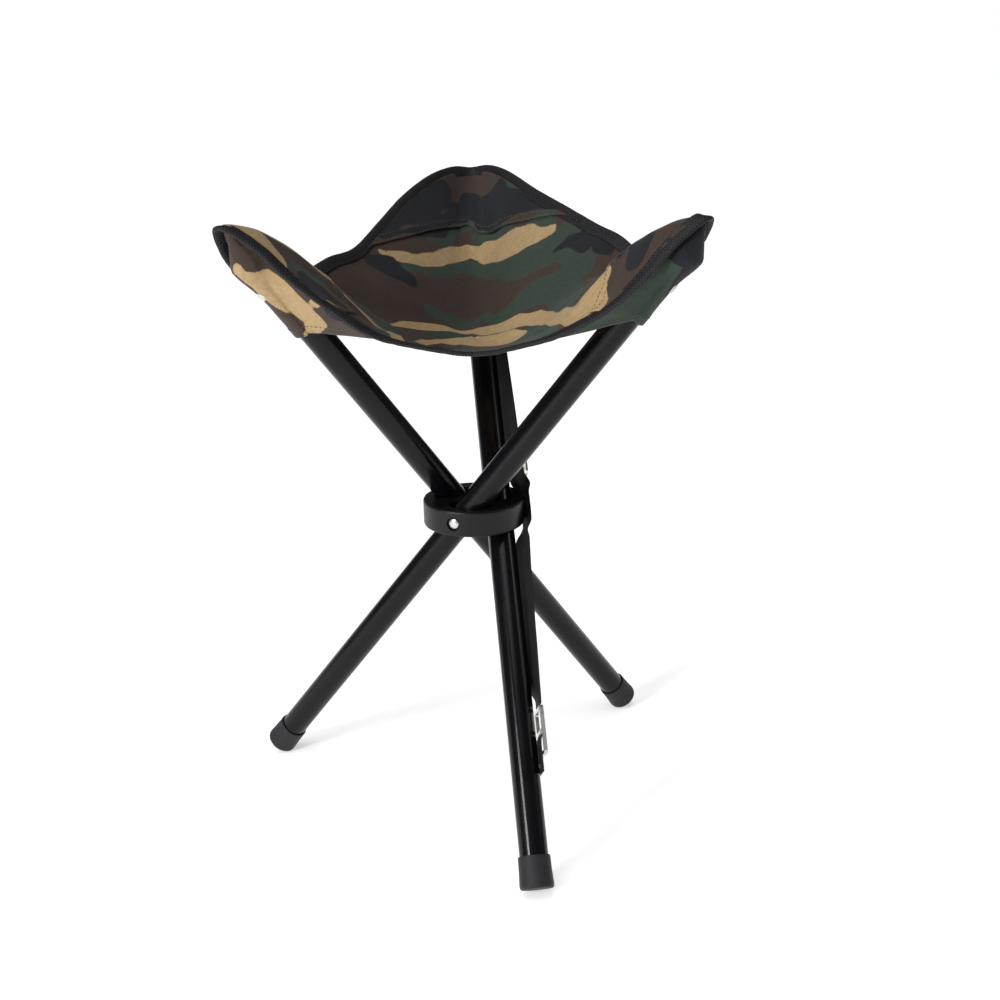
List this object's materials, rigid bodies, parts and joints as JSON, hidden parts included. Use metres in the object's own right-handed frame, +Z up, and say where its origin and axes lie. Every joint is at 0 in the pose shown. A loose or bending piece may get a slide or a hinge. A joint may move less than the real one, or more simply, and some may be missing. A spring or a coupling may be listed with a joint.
{
  "type": "three leg stool",
  "caption": "Folding tripod stool with a triangular fabric sling seat, crossed tube legs pivoting in a round hub, rubber foot caps and a carry strap.",
  "frame": {"origin": "centre of the opened stool's footprint box, at floor level", "axes": "+Z up when the stool stands open; the rear seat corner, whose leg carries the strap, points to +Y, and the strap side of that leg faces +X"},
  "size_m": [0.3642, 0.385, 0.5074],
  "materials": {
    "painted_steel": "gloss black powder coat",
    "moulded_plastic": "satin moulded black",
    "rubber": "matte dark grey rubber",
    "plated_steel": "bright plated",
    "canvas": "printed woodland canvas, plain weave with a dull coating",
    "binding_tape": "ribbed black tape",
    "webbing": "woven black webbing"
  },
  "bodies": {
    "hub": {"hub": "moulded_plastic", "pivot_pin_rear": "plated_steel", "pivot_pin_left": "plated_steel", "pivot_pin_right": "plated_steel", "seat_panel": "canvas", "edge_binding_front": "binding_tape", "edge_binding_right": "binding_tape", "edge_binding_left": "binding_tape", "corner_patch_rear": "canvas", "corner_patch_left": "canvas", "corner_patch_right": "canvas"},
    "leg_rear": {"leg_tube_rear": "painted_steel", "top_plug_rear": "moulded_plastic", "foot_cap_rear": "rubber", "corner_pocket_rear": "canvas", "pocket_rivet_rear": "plated_steel", "carry_strap": "webbing", "strap_tab": "webbing", "strap_slider": "plated_steel", "strap_buckle": "plated_steel", "strap_rivet_upper": "plated_steel", "strap_rivet_lower": "plated_steel"},
    "leg_left": {"leg_tube_left": "painted_steel", "top_plug_left": "moulded_plastic", "foot_cap_left": "rubber", "corner_pocket_left": "canvas", "pocket_rivet_left": "plated_steel"},
    "leg_right": {"leg_tube_right": "painted_steel", "top_plug_right": "moulded_plastic", "foot_cap_right": "rubber", "corner_pocket_right": "canvas", "pocket_rivet_right": "plated_steel"}
  },
  "joints": [
    {"name": "rear_leg_fold", "type": "hinge", "parent": "hub", "child": "leg_rear", "pos_m": [0.02887, 0.00394, 0.24485], "axis": [0.9938, 0.1115, 0], "range_deg": [0, 38.4], "deforming": ["corner_pocket_rear", "seat_panel", "edge_binding_front", "edge_binding_right", "edge_binding_left", "corner_patch_rear", "corner_patch_left", "corner_patch_right"]},
    {"name": "left_leg_fold", "type": "hinge", "parent": "hub", "child": "leg_left", "pos_m": [-0.00366, 0.01815, 0.24485], "axis": [-0.5934, 0.8049, 0], "range_deg": [0, 38.4], "deforming": ["corner_pocket_left"]},
    {"name": "right_leg_fold", "type": "hinge", "parent": "hub", "child": "leg_right", "pos_m": [0.00029, -0.01713, 0.24485], "axis": [-0.4003, -0.9164, 0], "range_deg": [0, 38.4], "deforming": ["corner_pocket_right"]}
  ],
  "couplings": [
    {"joint": "left_leg_fold", "follows": "rear_leg_fold", "ratio": 1},
    {"joint": "right_leg_fold", "follows": "rear_leg_fold", "ratio": 1}
  ]
}
